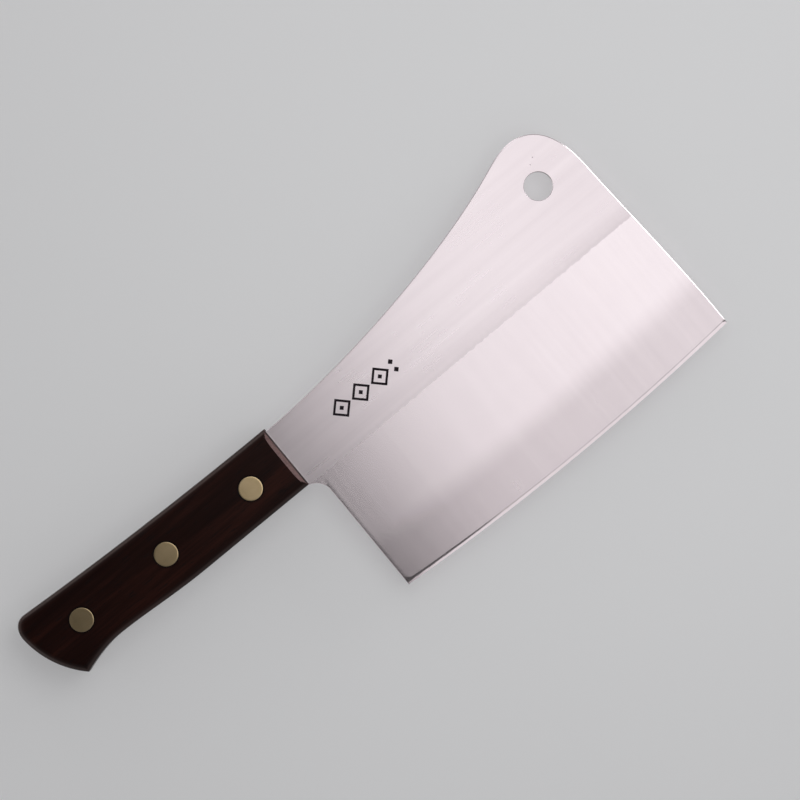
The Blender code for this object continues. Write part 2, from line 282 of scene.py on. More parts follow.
def turns(loop):
    """The angle turned at each point of a closed outline, left positive."""
    before = loop - np.roll(loop, 1, axis=0)
    after = np.roll(loop, -1, axis=0) - loop
    cross = before[:, 0] * after[:, 1] - before[:, 1] * after[:, 0]
    return np.arctan2(cross, np.sum(before * after, axis=1))


def drop_straight(loop):
    """Drops the points that the triangulated sides added along straight runs."""
    keep = np.linalg.norm(loop - np.roll(loop, 1, axis=0), axis=1) > CLOSE
    loop = loop[keep]
    return loop[np.abs(turns(loop)) > STRAIGHT]


def smooth_outline(loop, spacing):
    """Resamples a faceted outline along a smooth curve; corners and long straight runs stay."""
    after = np.roll(loop, -1, axis=0) - loop
    length = np.linalg.norm(after, axis=1)
    ahead = after / length[:, None]
    behind = np.roll(ahead, 1, axis=0)
    back_length = np.roll(length, 1)
    tangent = behind * length[:, None] + ahead * back_length[:, None]
    tangent[length > LONG_RUN * back_length] = ahead[length > LONG_RUN * back_length]
    tangent[back_length > LONG_RUN * length] = behind[back_length > LONG_RUN * length]
    tangent /= np.linalg.norm(tangent, axis=1)[:, None]
    corner = np.abs(turns(loop)) > CORNER
    count = len(loop)
    fine = []
    for i in range(count):
        j = (i + 1) % count
        leave, arrive = tangent[i], tangent[j]
        if corner[i] and corner[j]:
            leave = arrive = ahead[i]
        elif corner[i]:
            leave = 2 * np.dot(arrive, ahead[i]) * ahead[i] - arrive
        elif corner[j]:
            arrive = 2 * np.dot(leave, ahead[i]) * ahead[i] - leave
        steps = max(1, round(length[i] / spacing))
        t = np.arange(steps)[:, None] / steps
        fine.append(
            (2 * t**3 - 3 * t**2 + 1) * loop[i]
            + (t**3 - 2 * t**2 + t) * length[i] * leave
            + (3 * t**2 - 2 * t**3) * loop[j]
            + (t**3 - t**2) * length[i] * arrive
        )
    return np.concatenate(fine)


def circle(centre, radius, steps=ROUND_STEPS):
    angle = np.arange(steps) * 2 * pi / steps
    return np.array(centre) + radius * np.stack([np.cos(angle), np.sin(angle)], axis=1)


def distance_to(points, starts, ends):
    """The distance from each point to the nearest of some line pieces."""
    result = np.full(len(points), np.inf)
    for a, b in zip(starts, ends):
        along = b - a
        share = np.clip((points - a) @ along / max(along @ along, 1e-12), 0.0, 1.0)
        gap = points - a - share[:, None] * along
        result = np.minimum(result, np.einsum("ij,ij->i", gap, gap))
    return np.sqrt(result)


def distance_to_loop(points, loop):
    return distance_to(points, loop, np.roll(loop, -1, axis=0))


def inset(loop, distance):
    """The outline moved in by a distance (out of a hole's outline if negative)."""
    ahead = np.roll(loop, -1, axis=0) - loop
    ahead /= np.linalg.norm(ahead, axis=1)[:, None]
    normal = np.stack([-ahead[:, 1], ahead[:, 0]], axis=1)
    previous = np.roll(normal, 1, axis=0)
    mitre = (normal + previous) / (1 + np.sum(normal * previous, axis=1))[:, None]
    moved = loop + mitre * distance
    real = distance_to_loop(moved, loop) > abs(distance) * 0.999
    return moved[real]


def inside(points, loop):
    """Even-odd test of many points against one outline."""
    result = np.zeros(len(points), bool)
    x, z = points[:, 0], points[:, 1]
    for (ax, az), (bx, bz) in zip(loop, np.roll(loop, -1, axis=0)):
        if az == bz:
            continue
        crosses = (az > z) != (bz > z)
        result ^= crosses & (x < (bx - ax) * (z - az) / (bz - az) + ax)
    return result


def grid(x, z):
    """Every pair of the given places along and up, as plan points."""
    x, z = np.meshgrid(x, z)
    return np.stack([x.ravel(), z.ravel()], axis=1)


class Plan:
    """Collects outlines, lines and loose points, and triangulates them."""

    def __init__(self, outline, holes):
        self.outline = outline
        self.holes = list(holes)
        self.points = []
        self.edges = []
        for loop in [outline, *self.holes]:
            self.add_loop(loop)

    def add_loop(self, loop):
        first = len(self.points)
        self.points.extend(map(tuple, loop))
        count = len(loop)
        self.edges.extend((first + i, first + (i + 1) % count) for i in range(count))

    def add_line(self, line):
        first = len(self.points)
        self.points.extend(map(tuple, line))
        self.edges.extend((first + i, first + i + 1) for i in range(len(line) - 1))

    def add_points(self, points, clear):
        """Adds loose points that lie inside the outline and clear of it and of the holes."""
        keep = inside(points, self.outline)
        keep &= distance_to_loop(points, self.outline) > clear
        for hole in self.holes:
            keep &= ~inside(points, hole)
            keep &= distance_to_loop(points, hole) > clear
        self.points.extend(map(tuple, points[keep]))

    def triangulate(self):
        """Returns the plan's points and its triangles, left out where there are holes."""
        result = geometry.delaunay_2d_cdt(
            [Vector(point) for point in self.points], self.edges, [], 0, 1e-5
        )
        points = np.array([tuple(vert) for vert in result[0]])
        faces = np.array([tuple(face) for face in result[2]])
        centres = points[faces].mean(axis=1)
        keep = inside(centres, self.outline)
        for hole in self.holes:
            keep &= ~inside(centres, hole)
        return points, faces[keep]


# ---- Meshes.

def add_object(name, verts, polygons):
    mesh = bpy.data.meshes.new(name)
    mesh.from_pydata(verts * MM, [], polygons)
    mesh.validate()
    made = bpy.data.objects.new(name, mesh)
    bpy.context.scene.collection.objects.link(made)
    return made


def solid(name, points, faces, near_y, far_y):
    """Closes two sheets over one plan with walls, which have a row of points beside each rim."""
    used = np.unique(faces)
    index = np.full(len(points), -1)
    index[used] = np.arange(len(used))
    points, near_y, far_y = points[used], near_y[used], far_y[used]
    faces = index[faces]
    count = len(points)
    corners = points[faces]
    one, two = corners[:, 1] - corners[:, 0], corners[:, 2] - corners[:, 0]
    flip = one[:, 0] * two[:, 1] - one[:, 1] * two[:, 0] < 0
    faces[flip] = faces[flip][:, ::-1]

    sides = np.concatenate([faces[:, [0, 1]], faces[:, [1, 2]], faces[:, [2, 0]]])
    known = set(map(tuple, sides.tolist()))
    border = [(a, b) for a, b in sides.tolist() if (b, a) not in known]
    rim = sorted({a for edge in border for a in edge})
    row_of = {vert: i for i, vert in enumerate(rim)}
    depth = far_y[rim] - near_y[rim]
    step = np.minimum(WALL_HOLD, depth / 3)
    verts = [
        np.stack([points[:, 0], near_y, points[:, 1]], axis=1),
        np.stack([points[:, 0], far_y, points[:, 1]], axis=1),
        np.stack([points[rim, 0], near_y[rim] + step, points[rim, 1]], axis=1),
        np.stack([points[rim, 0], far_y[rim] - step, points[rim, 1]], axis=1),
    ]
    near_row, far_row = 2 * count, 2 * count + len(rim)

    polygons = faces.tolist() + (faces[:, ::-1] + count).tolist()
    for a, b in border:
        ra, rb = row_of[a], row_of[b]
        polygons.append((b, a, near_row + ra, near_row + rb))
        polygons.append((near_row + rb, near_row + ra, far_row + ra, far_row + rb))
        polygons.append((far_row + rb, far_row + ra, count + a, count + b))
    return add_object(name, np.concatenate(verts), polygons)


def turned(name, profile, centre, side):
    """A turned solid about Y: (radius, height) points, height measured outwards on one side."""
    steps = ROUND_STEPS
    angle = np.arange(steps) * 2 * pi / steps
    rings = []
    for radius, height in profile[1:-1]:
        ring = np.stack(
            [
                centre[0] + radius * np.cos(angle),
                np.full(steps, side * height),
                centre[1] + radius * np.sin(angle),
            ],
            axis=1,
        )
        rings.append(ring)
    top = (centre[0], side * profile[0][1], centre[1])
    bottom = (centre[0], side * profile[-1][1], centre[1])
    count = len(rings)
    last = (count - 1) * steps
    polygons = []
    for i in range(steps):
        j = (i + 1) % steps
        polygons.append((count * steps, j, i))
        for ring in range(count - 1):
            a, b = ring * steps, (ring + 1) * steps
            polygons.append((a + i, a + j, b + j, b + i))
        polygons.append((last + i, last + j, count * steps + 1))
    if side == NEAR:
        polygons = [polygon[::-1] for polygon in polygons]
    return add_object(name, np.concatenate([*rings, [top], [bottom]]), polygons)


def finish_piece(piece, node, slot, *materials):
    """Shades a piece, gives it its materials and ties it to the CAD node that it stands for."""
    piece.data.shade_smooth()
    piece.data.set_sharp_from_angle(angle=SHARP)
    for material in materials:
        piece.data.materials.append(material)
    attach(piece, "root")
    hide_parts(node)


def quarter_round(distance, radius):
    """How far a rounded rim has dropped at a distance in from the outline."""
    left = np.clip(radius - distance, 0.0, None)
    return radius - np.sqrt(np.clip(radius**2 - left**2, 0.0, None))


def broken_corner(distance, width):
    """How far a corner that was taken off at 45 degrees has dropped, a little soft at its start."""
    return -smooth_min(distance - width, np.zeros(len(distance)), RIM_BLEND)


def smooth_min(a, b, blend):
    """The lesser of two heights, with the crease between them rounded over a blend."""
    share = np.clip(0.5 + 0.5 * (b - a) / blend, 0.0, 1.0)
    return b + (a - b) * share - blend * share * (1 - share)


def rivet_centre(place):
    low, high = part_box(f"rivet_post_{place}")
    middle = (low + high) / 2 / MM
    return np.array((middle.x, middle.z))


def head_radius(place):
    low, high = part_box(f"rivet_post_{place}")
    return (high.x - low.x) / 2 / MM


# ---- Node trees.

class Nodes:
    """The node tree of a material or a world, with one short call for each node."""

    def __init__(self, owner):
        owner.use_nodes = True
        self.owner = owner
        self.tree = owner.node_tree
        self.tree.nodes.clear()

    def add(self, kind, inputs=None, out=0, **settings):
        node = self.tree.nodes.new(f"ShaderNode{kind}")
        for key, value in settings.items():
            setattr(node, key, value)
        for key, value in (inputs or {}).items():
            socket = node.inputs[key]
            if isinstance(value, bpy.types.NodeSocket):
                self.tree.links.new(value, socket)
            else:
                socket.default_value = value
        return node.outputs[out]

    def math(self, operation, a, b=0.0, c=0.0):
        return self.add("Math", {0: a, 1: b, 2: c}, operation=operation)

    def scaled(self, value, factor, offset):
        """The value times a factor, plus an offset."""
        return self.math("MULTIPLY_ADD", value, factor, offset)

    def inverted(self, share):
        return self.math("SUBTRACT", 1.0, share)

    def step(self, value, low, high):
        """0 below low, 1 above high, smooth between."""
        return self.add(
            "MapRange",
            {"Value": value, "From Min": low, "From Max": high},
            interpolation_type="SMOOTHSTEP",
        )

    def noise(self, scale, detail=2.0, roughness=0.5, distortion=0.0, at=(0.0, 0.0, 0.0)):
        """Noise on the object's own metres, with a scale for each axis in features a metre."""
        place = self.add("Mapping", {"Vector": self.where(), "Location": at, "Scale": scale})
        return self.add(
            "TexNoise",
            {
                "Vector": place,
                "Scale": 1.0,
                "Detail": detail,
                "Roughness": roughness,
                "Distortion": distortion,
            },
        )

    def where(self):
        return self.add("TexCoord", out="Object")

    def part(self, vector, axis):
        return self.add("SeparateXYZ", {0: vector}, out=axis)

    def axis(self, name):
        return self.part(self.where(), name)

    def normal(self, axis):
        return self.part(self.add("NewGeometry", out="Normal"), axis)

    def mix(self, share, a, b):
        return self.add("Mix", {0: share, 6: a, 7: b}, out=2, data_type="RGBA")

    def ramp(self, value, stops):
        node = self.tree.nodes.new("ShaderNodeValToRGB")
        self.tree.links.new(value, node.inputs[0])
        elements = node.color_ramp.elements
        while len(elements) < len(stops):
            elements.new(0.5)
        for element, (place, colour) in zip(elements, stops):
            element.position = place
            element.color = (*colour, 1.0)
        return node.outputs[0]

    def bump(self, height, strength, distance):
        return self.add("Bump", {"Strength": strength, "Distance": distance, "Height": height})

    def finish(self, surface, output="OutputMaterial"):
        node = self.tree.nodes.new(f"ShaderNode{output}")
        self.tree.links.new(surface, node.inputs["Surface"])
        return self.owner


def new_material(name):
    return Nodes(bpy.data.materials.new(name))


# ---- Blade.

class BladeShape:
    """The blade's outline and the half thickness at any point of its plan."""

    def __init__(self):
        low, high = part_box("blade")
        loops = section_loops("blade", 0.0)
        faceted = loops[0]
        corners = faceted[np.abs(turns(faceted)) > CORNER]
        ends = corners[np.argsort(corners[:, 1])[:2]]
        self.heel, self.toe = ends[np.argsort(ends[:, 0])]
        self.half = high.y / MM
        self.outline = smooth_outline(faceted, OUTLINE_STEP)
        self.holes = [smooth_outline(loop, HOLE_STEP) for loop in loops[1:]]
        self.hang_hole = max(self.holes, key=lambda loop: loop[:, 0].mean())
        self.grip_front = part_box("near_scale")[1].x / MM
        # The cutting edge is an arc from heel to toe that hangs a little below both.
        middle = (self.heel + self.toe) / 2
        belly = middle[1] - low.z / MM
        chord = np.linalg.norm(self.toe - self.heel)
        self.edge_radius = ((chord / 2) ** 2 + belly**2) / (2 * belly)
        self.edge_centre = middle + np.array((0.0, self.edge_radius - belly))
        self.middle_x = middle[0]

    def from_edge(self, points):
        """Distance in from the cutting edge."""
        return self.edge_radius - np.linalg.norm(points - self.edge_centre, axis=1)

    def above_edge(self, x, distance):
        """The height of a line that keeps a distance in from the cutting edge."""
        radius = self.edge_radius - distance
        return self.edge_centre[1] - np.sqrt(radius**2 - (x - self.edge_centre[0]) ** 2)

    def grind_line(self, x):
        return self.heel[1] + GRIND_START + GRIND_RISE * (x - self.middle_x)

    def lower_line(self, x):
        return self.above_edge(x, 0.0) + LOWER_GRIND_WIDTH

    def ground(self, points):
        """Half thickness from the two grinds, before the edge bevel and the rims."""
        x, z = points[:, 0], points[:, 1]
        top, line = self.grind_line(x), self.lower_line(x)
        upper = self.half + (z - top) * GRIND_TAPER
        lower = self.half + (line - top) * GRIND_TAPER + (z - line) * LOWER_GRIND_TAPER
        grinds = smooth_min(upper, lower, LOWER_GRIND_BLEND)
        return smooth_min(grinds, np.full(len(points), self.half), GRIND_BLEND)

    def edge_bevel(self, points):
        """Half thickness under the sharpening, whose shoulder curls up at the heel."""
        ahead = np.clip(points[:, 0] - self.heel[0], 0.0, None)
        curl = 1 / (1 + HEEL_CURL / SHOULDER_WIDTH * np.exp(-ahead / HEEL_CURL_REACH))
        fade = np.clip((ahead - SHOULDER_KEEPS) / SHOULDER_FADES, 0.0, 1.0)
        fade = fade**2 * (3 - 2 * fade)
        shoulder = tan(SHOULDER_ANGLE) + (tan(EDGE_ANGLE) - tan(SHOULDER_ANGLE)) * fade
        distance = np.clip(self.from_edge(points), 0.0, None)
        above = np.clip(distance - BEVEL_WIDTH, 0.0, None)
        return EDGE_LAND + (distance - above) * tan(EDGE_ANGLE) + above * curl * shoulder

    def rim_pieces(self):
        """The outline's line pieces with a broken corner: not the edge, and not the tang."""
        starts, ends = self.outline, np.roll(self.outline, -1, axis=0)
        middles = (starts + ends) / 2
        on_edge = np.abs(self.from_edge(middles)) < TOUCHING
        on_edge &= middles[:, 1] < self.heel[1] + CLOSE
        on_tang = middles[:, 0] < self.grip_front
        keep = ~on_edge & ~on_tang
        return starts[keep], ends[keep]

    def half_thickness(self, points):
        """Half the blade's thickness, before the mark and the pits are taken out."""
        ground = self.ground(points)
        width = np.minimum(BLADE_RIM, RIM_SHARE * ground)
        drop = broken_corner(distance_to(points, *self.rim_pieces()), width)
        drop = drop + quarter_round(distance_to_loop(points, self.hang_hole), HOLE_RIM)
        heel_x, heel_z = self.heel
        heel = np.array(((heel_x, heel_z), (heel_x, heel_z + HEEL_HEIGHT)))
        left = np.clip(1 - distance_to(points, heel[:1], heel[1:]) / HEEL_ROLL, 0.0, None)
        drop = drop + HEEL_ROLL_DROP * left**2
        return np.minimum(ground - drop, self.edge_bevel(points))


def blade_rows(shape):
    """Loose points in rows over the blade."""
    heel_x, heel_z = shape.heel
    x = np.arange(heel_x + ROW_START, shape.toe[0], ROW_STEP)
    heights = [shape.grind_line(x) + offset for offset in GRIND_LINE_ROWS]
    heights += [shape.lower_line(x) + offset for offset in np.arange(*LOWER_LINE_ROWS)]
    for low, high in FACE_ROWS:
        for height in np.arange(heel_z + low, heel_z + high, FACE_ROW_STEP):
            heights.append(np.full(len(x), height))
    rows = [np.stack([x, height], axis=1) for height in heights]
    x = np.arange(heel_x, shape.toe[0] + TOUCHING, BEVEL_STEP)
    for distance in np.arange(*BEVEL_ROWS):
        rows.append(np.stack([x, shape.above_edge(x, distance)], axis=1))
    z = np.arange(heel_z + HEEL_START, heel_z + HEEL_HEIGHT, HEEL_STEP)
    for ahead in np.arange(*HEEL_ROWS):
        rows.append(np.stack([np.full(len(z), heel_x + ahead), z], axis=1))
    rows.append(grid(heel_x + np.arange(*HEEL_CORNER_AHEAD), np.arange(*HEEL_CORNER_Z)))
    return np.concatenate(rows)


def blade_plan(shape, marks):
    plan = Plan(shape.outline, shape.holes)
    for step in RIM_ROWS:
        plan.add_loop(inset(shape.outline, BLADE_RIM + step))
        plan.add_loop(inset(shape.hang_hole, -(HOLE_RIM + step)))
    for ahead, up, radius in PITS:
        for share in PIT_RINGS:
            plan.add_loop(circle(shape.heel + np.array((ahead, up)), radius * share, PIT_STEPS))
    for outer, inner in marks:
        plan.add_loop(outer)
        plan.add_loop(inset(outer, MARK_WALL))
        if inner is not None:
            plan.add_loop(inner)
            plan.add_loop(inset(inner, -MARK_WALL))
    loose = blade_rows(shape)
    near_mark = np.zeros(len(loose), bool)
    for outer, _ in marks:
        near_mark |= inside(loose, inset(outer, -MARK_CLEAR))
    plan.add_points(loose[~near_mark], BLADE_RIM + POINTS_CLEAR)
    return plan


def make_blade(shape, steel, mark_steel):
    marks = mark_shapes(shape.heel)
    points, faces = blade_plan(shape, marks).triangulate()
    half = shape.half_thickness(points)
    recess = MARK_DEPTH * in_mark(points, marks, MARK_FLOOR)
    for ahead, up, radius in PITS:
        away = np.linalg.norm(points - shape.heel - np.array((ahead, up)), axis=1)
        recess = recess + PIT_DEPTH * np.exp(-((away / radius) ** 2) * PIT_FALLOFF)
    blade = solid("blade_steel", points, faces, -(half - recess), half)
    finish_piece(blade, "blade", "blade_steel", steel, mark_steel)
    mark_faces(blade, marks)


# ---- The mark on the blade.

def lozenge(x, z, reach):
    return np.array([(x - reach, z), (x, z - reach), (x + reach, z), (x, z + reach)])


def mark_shapes(heel):
    """Each shape is an outer outline and an inner one, or None where it is filled in."""
    along, up = heel[0], heel[1] + MARK_UP
    shapes = []
    for place in LOZENGES:
        outer = lozenge(along + place, up, LOZENGE_REACH)
        inner = lozenge(along + place, up, LOZENGE_REACH - LOZENGE_STROKE)
        shapes.append((outer, inner))
        shapes.append((lozenge(along + place, up, LOZENGE_DOT), None))
    for lift in END_DOT_LIFTS:
        shapes.append((lozenge(along + END_DOTS, up + lift, END_DOT), None))
    return shapes


def in_mark(points, shapes, margin=0.0):
    """Which points lie in the recessed strokes, taken in from their borders by a margin."""
    result = np.zeros(len(points), bool)
    for outer, inner in shapes:
        edge = outer if margin == 0.0 else inset(outer, margin)
        within = inside(points, edge)
        if inner is not None:
            edge = inner if margin == 0.0 else inset(inner, -margin)
            within &= ~inside(points, edge)
        result |= within
    return result


def mark_faces(blade, shapes):
    """The faces in the recessed strokes of the near side take the second material."""
    mesh = blade.data
    centres = np.zeros(len(mesh.polygons) * 3)
    mesh.polygons.foreach_get("center", centres)
    centres = centres.reshape(-1, 3) / MM
    marked = in_mark(centres[:, [0, 2]], shapes) & (centres[:, 1] < 0)
    mesh.polygons.foreach_set("material_index", marked.astype(np.int32))


# ---- Steel.

def blade_zones(nodes, shape):
    """Shares from 0 to 1 on the upper flat and the lower grind, and the height over the flat's line."""
    offset = nodes.math("SUBTRACT", nodes.axis("X"), shape.middle_x * MM)
    ragged, softness = 0.0018, 0.00025
    wander = nodes.scaled(nodes.noise((420.0, 1.0, 130.0), detail=3.0), ragged, -ragged / 2)
    line = nodes.scaled(offset, GRIND_RISE, shape.grind_line(shape.middle_x) * MM)
    above = nodes.math("ADD", nodes.math("SUBTRACT", nodes.axis("Z"), line), wander)
    flat = nodes.step(above, -softness, softness)
    squared = nodes.math("MULTIPLY", offset, offset)
    sweep = nodes.math("MULTIPLY", squared, 0.5 / (shape.edge_radius * MM))
    low_line = nodes.math("ADD", sweep, shape.lower_line(shape.middle_x) * MM)
    low = nodes.step(nodes.math("SUBTRACT", low_line, nodes.axis("Z")), -0.0060, 0.0075)
    return flat, low, above


def painted_steel_shade(nodes, flat, low, above):
    """How much darker the steel is painted than its middle tone: painted shade, and a painted highlight
    on the grind near the front, for how the light falls on the ground faces.
    """
    # Painted shade: the flat is painted a little darker than the grind, most of all just above the line
    # between them.
    forward = nodes.step(nodes.axis("X"), 0.006, 0.070)
    fading = nodes.inverted(nodes.step(above, 0.0, 0.0090))
    beside = nodes.inverted(nodes.step(above, 0.0006, 0.0030))
    shade = nodes.scaled(fading, 0.20, -0.06)
    shade = nodes.math("MULTIPLY", shade, forward)
    shade = nodes.scaled(beside, 0.07, shade)
    # Near the front the flat is painted a little darker, and the grind a little brighter: painted shade
    # and painted highlight.
    front = nodes.step(nodes.axis("X"), 0.090, 0.145)
    shade = nodes.scaled(front, 0.19, shade)
    shade = nodes.math("MULTIPLY", shade, flat)
    shade = nodes.scaled(front, -0.09, shade)
    # Painted shade: the lower grind is painted darker.
    return nodes.scaled(low, 0.34, shade)


def steel_material(shape):
    """Satin steel with lines along the blade on the flat, and across the grind below it."""
    nodes = new_material("satin_steel")
    flat, low, above = blade_zones(nodes, shape)
    along = nodes.noise((7.0, 7.0, 520.0), detail=3.0)
    along_wide = nodes.noise((5.0, 5.0, 130.0), detail=2.5, at=(3.0, 0.0, 1.0))
    across = nodes.noise((520.0, 30.0, 20.0), detail=3.0)
    across_wide = nodes.noise((150.0, 10.0, 16.0), detail=2.0, at=(0.0, 2.0, 5.0))
    lines = nodes.mix(flat, across, along)
    wide = nodes.mix(flat, across_wide, along_wide)
    cloud = nodes.noise((36.0, 36.0, 44.0), detail=5.0, roughness=0.6)

    middle_tone, line_share, cloud_share = 0.675, 0.11, 0.18
    tone = nodes.scaled(lines, line_share, middle_tone - 0.5 * (line_share + cloud_share))
    tone = nodes.scaled(cloud, cloud_share, tone)
    streaks = nodes.scaled(flat, 0.36, 0.11)
    tone = nodes.scaled(nodes.math("SUBTRACT", wide, 0.5), streaks, tone)
    # The painted shade and highlight go into the steel's tone.
    tone = nodes.math("SUBTRACT", tone, painted_steel_shade(nodes, flat, low, above))
    colour = nodes.ramp(tone, STEEL_TONES)

    # A face's slope tells what it is: bevel and shoulder are polished, broken corners a little
    # less so, and the walls between the two sides are dull.
    facing = nodes.math("ABSOLUTE", nodes.normal("Y"))
    polished = nodes.inverted(nodes.step(facing, 0.95, 0.995))
    walls = nodes.inverted(nodes.step(facing, 0.10, 0.35))
    rims = nodes.inverted(nodes.step(facing, 0.82, 0.90))
    roughness = nodes.scaled(lines, 0.03, 0.22)
    roughness = nodes.scaled(cloud, 0.05, roughness)
    roughness = nodes.scaled(flat, 0.02, roughness)
    roughness = nodes.scaled(polished, -0.12, roughness)
    roughness = nodes.scaled(rims, 0.05, roughness)
    roughness = nodes.scaled(walls, 0.21, roughness)

    # Only the wide faces are grooved; a face square to the grooves has no direction for them.
    grooved = nodes.math("MULTIPLY", flat, nodes.inverted(rims))
    surface = nodes.add(
        "BsdfPrincipled",
        {
            "Base Color": nodes.mix(walls, colour, STEEL_WALL),
            "Metallic": 1.0,
            "Roughness": roughness,
            "Normal": nodes.bump(lines, nodes.scaled(polished, -0.2, 0.2), 0.000012),
            "Anisotropic": nodes.math("MULTIPLY", grooved, 0.25),
            "Tangent": (0.0, 0.0, 1.0),
        },
    )
    return nodes.finish(surface)


def mark_material():
    """Dark etched steel."""
    nodes = new_material("etched_steel")
    grain = nodes.noise((1600.0, 1600.0, 1600.0), detail=3.0)
    surface = nodes.add(
        "BsdfPrincipled",
        {
            "Base Color": nodes.ramp(grain, ETCH_TONES),
            "Metallic": 0.3,
            "Roughness": nodes.scaled(grain, 0.3, 0.45),
            "Normal": nodes.bump(grain, 0.5, 0.00005),
            "Specular IOR Level": 0.15,
        },
    )
    return nodes.finish(surface)


# ---- Handle scales.

def chamfer_width(up, ends):
    """The front chamfer is hand filed: full width in the middle and narrower at both ends."""
    away = np.minimum(up - ends[0], ends[1] - up)
    short = np.clip(1 - away / CHAMFER_RUN_OUT, 0.0, 1.0)
    return FRONT_CHAMFER * (1 - CHAMFER_NARROWING * short**2)


def rounding_rows():
    """Distances in from the outline that space the rounding evenly, and one to hold its end."""
    angles = np.arange(1, ROUNDING_STEPS + 1) * pi / 2 / ROUNDING_STEPS
    return [*(SCALE_ROUNDING * (1 - np.cos(angles))), SCALE_ROUNDING + ROUNDING_HOLD]


class ScaleShape:
    """One scale's outline, its rivet seats and the height of its outer face."""

    def __init__(self, node, side):
        self.low, self.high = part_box(node)
        faces = (abs(self.low.y) / MM, abs(self.high.y) / MM)
        self.inner, self.outer = sorted(faces)
        self.front = self.high.x / MM
        loops = section_loops(node, side * (self.inner + SCALE_SECTION))
        self.outline = smooth_outline(loops[0], SCALE_STEP)
        self.hole = np.ptp(loops[1][:, 0]) / 2
        self.seat = head_radius(RIVETS[0]) + SEAT_GAP
        self.centres = [rivet_centre(place) for place in RIVETS]
        # Everything but the front end is rounded.
        following = np.roll(self.outline, -1, axis=0)
        rounded = (self.outline[:, 0] + following[:, 0]) / 2 < self.front - CLOSE
        self.rim = (self.outline[rounded], following[rounded])
        at_front = self.outline[self.outline[:, 0] > self.front - CLOSE]
        self.front_ends = (at_front[:, 1].min(), at_front[:, 1].max())

    def to_rivet(self, points):
        return np.min([np.linalg.norm(points - c, axis=1) for c in self.centres], axis=0)

    def plan(self):
        plan = Plan(self.outline, [circle(centre, self.hole) for centre in self.centres])
        for distance in rounding_rows():
            plan.add_loop(inset(self.outline, distance))
        up = np.linspace(*self.front_ends, CHAMFER_POINTS)
        for share, more in CHAMFER_ROWS:
            back = share * chamfer_width(up, self.front_ends)
            line = np.stack([self.front - back - more, up], axis=1)
            line = line[inside(line, self.outline)]
            plan.add_line(line[distance_to(line, *self.rim) > TOUCHING])
        for centre in self.centres:
            for more in SEAT_RINGS:
                plan.add_loop(circle(centre, self.seat + more))
        x = np.arange(self.low.x / MM, self.front, SCALE_POINT_STEP)
        z = np.arange(self.low.z / MM, self.high.z / MM, SCALE_POINT_STEP)
        loose = grid(x, z)
        loose = loose[self.to_rivet(loose) > self.seat + SEAT_CLEAR]
        plan.add_points(loose, SCALE_ROUNDING + SCALE_POINTS_CLEAR)
        return plan

    def outer_face(self, points):
        """How far out the scale reaches at each point of its plan."""
        face = self.outer - quarter_round(distance_to(points, *self.rim), SCALE_ROUNDING)
        back = self.front - points[:, 0]
        chamfer = self.outer - chamfer_width(points[:, 1], self.front_ends) + back
        chamfer = chamfer - CHAMFER_FOOT_DROP * np.clip(1 - back / CHAMFER_FOOT, 0.0, None)
        face = np.minimum(face, chamfer)
        to_rivet = self.to_rivet(points)
        face = face - SEAT_RIM * (to_rivet < self.seat + SEAT_RIM_WIDTH)
        return np.where(to_rivet < self.seat - SEAT_WALL, self.outer - SEAT_DEPTH, face)


def make_scale(side, word, wood):
    node = f"{word}_scale"
    shape = ScaleShape(node, side)
    points, faces = shape.plan().triangulate()
    outer = shape.outer_face(points)
    inner = np.full(len(points), shape.inner)
    near_y, far_y = (-outer, -inner) if side == NEAR else (inner, outer)
    scale = solid(f"{node}_wood", points, faces, near_y, far_y)
    finish_piece(scale, node, "handle_wood", wood)


def rivet_distance(nodes):
    """The distance to the nearest rivet's axis."""
    plan = nodes.add("VectorMath", {0: nodes.where(), 1: (1.0, 0.0, 1.0)}, operation="MULTIPLY")
    nearest = None
    for place in RIVETS:
        x, z = rivet_centre(place) * MM
        away = nodes.add("VectorMath", {0: plan, 1: (x, 0.0, z)}, out="Value", operation="DISTANCE")
        nearest = away if nearest is None else nodes.math("MINIMUM", nearest, away)
    return nearest


def painted_rim_highlight(nodes):
    """Painted highlight: the rounded rims are painted a little paler, the top ones most."""
    facing = nodes.math("ABSOLUTE", nodes.normal("Y"))
    upward = nodes.step(nodes.normal("Z"), -0.45, 0.10)
    off_face = nodes.inverted(nodes.step(facing, 0.74, 0.90))
    highlight_share = nodes.math("MULTIPLY", nodes.step(facing, 0.42, 0.66), off_face)
    return nodes.math("MULTIPLY", highlight_share, nodes.scaled(upward, 0.06, 0.12))


